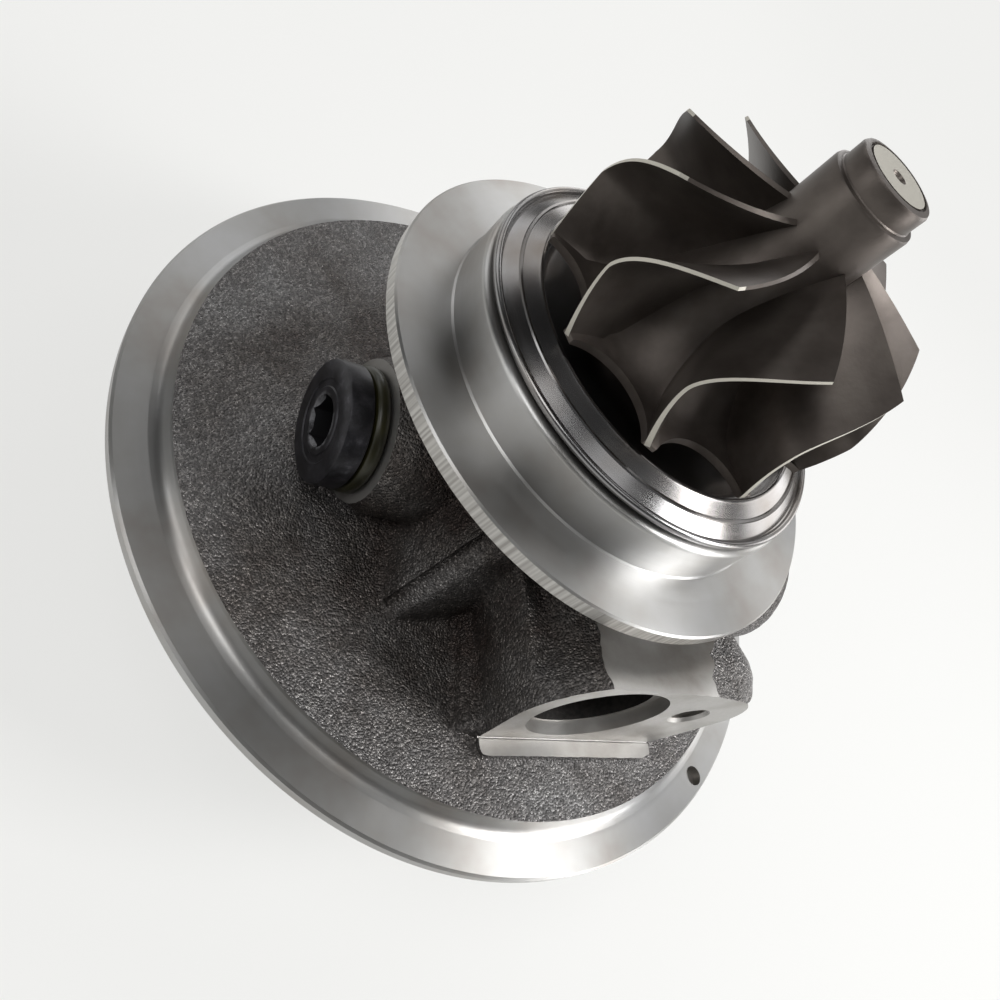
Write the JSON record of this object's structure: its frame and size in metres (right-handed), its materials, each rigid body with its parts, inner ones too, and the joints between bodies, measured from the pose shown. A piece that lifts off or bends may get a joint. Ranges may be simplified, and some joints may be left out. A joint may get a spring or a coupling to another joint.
{
  "type": "turbocharger core cartridge",
  "caption": "Turbocharger core: flanged iron bearing housing with oil and coolant ports, a bladed turbine wheel and a compressor wheel on one shaft.",
  "frame": {"origin": "on the shaft axis, in the plane of the seat that the compressor housing is clamped against", "axes": "+Z along the shaft to the turbine wheel, -Y out of the oil drain, -X out of the plugged coolant port"},
  "size_m": [0.115, 0.1148, 0.1097],
  "materials": {
    "cast_iron": "as cast, with turned sealing faces",
    "stainless_sheet": "pressed sheet, bright",
    "cast_nickel_alloy": "investment cast, dark, with ground blade tips",
    "aluminium": "machined",
    "ground_steel": "ground",
    "spring_steel": "dark, oiled",
    "bearing_bronze": "machined",
    "black_plug": "black coating, half gloss",
    "olive_sealing_ring": "moulded, half gloss",
    "black_rubber": "moulded"
  },
  "bodies": {
    "housing": {"bearing_housing": "cast_iron", "heat_shield": "stainless_sheet", "port_plug": "black_plug", "plug_sealing_ring": "olive_sealing_ring", "seal_plate": "aluminium", "seal_plate_o_ring": "black_rubber", "seal_plate_screw_1": "spring_steel", "seal_plate_screw_2": "spring_steel", "seal_plate_screw_3": "spring_steel", "thrust_bearing": "bearing_bronze", "oil_baffle": "stainless_sheet", "compressor_bush_outer_circlip": "spring_steel", "compressor_bush_inner_circlip": "spring_steel", "turbine_bush_inner_circlip": "spring_steel", "turbine_bush_outer_circlip": "spring_steel", "compressor_seal_ring": "spring_steel", "turbine_seal_ring": "spring_steel"},
    "rotor": {"rotor_shaft": "ground_steel", "turbine_wheel": "cast_nickel_alloy", "thrust_washer": "ground_steel", "thrust_collar": "ground_steel", "oil_slinger": "ground_steel", "compressor_wheel": "aluminium", "compressor_nut": "ground_steel"},
    "compressor_bush": {"compressor_journal_bush": "bearing_bronze"},
    "turbine_bush": {"turbine_journal_bush": "bearing_bronze"}
  },
  "joints": [
    {"name": "rotor_spin", "type": "hinge", "parent": "housing", "child": "rotor", "pos_m": [0, 0, 0], "axis": [0, 0, 1], "continuous": true},
    {"name": "compressor_bush_spin", "type": "hinge", "parent": "housing", "child": "compressor_bush", "pos_m": [0, 0, 0.01265], "axis": [0, 0, 1], "continuous": true},
    {"name": "turbine_bush_spin", "type": "hinge", "parent": "housing", "child": "turbine_bush", "pos_m": [0, 0, 0.02965], "axis": [0, 0, 1], "continuous": true}
  ]
}
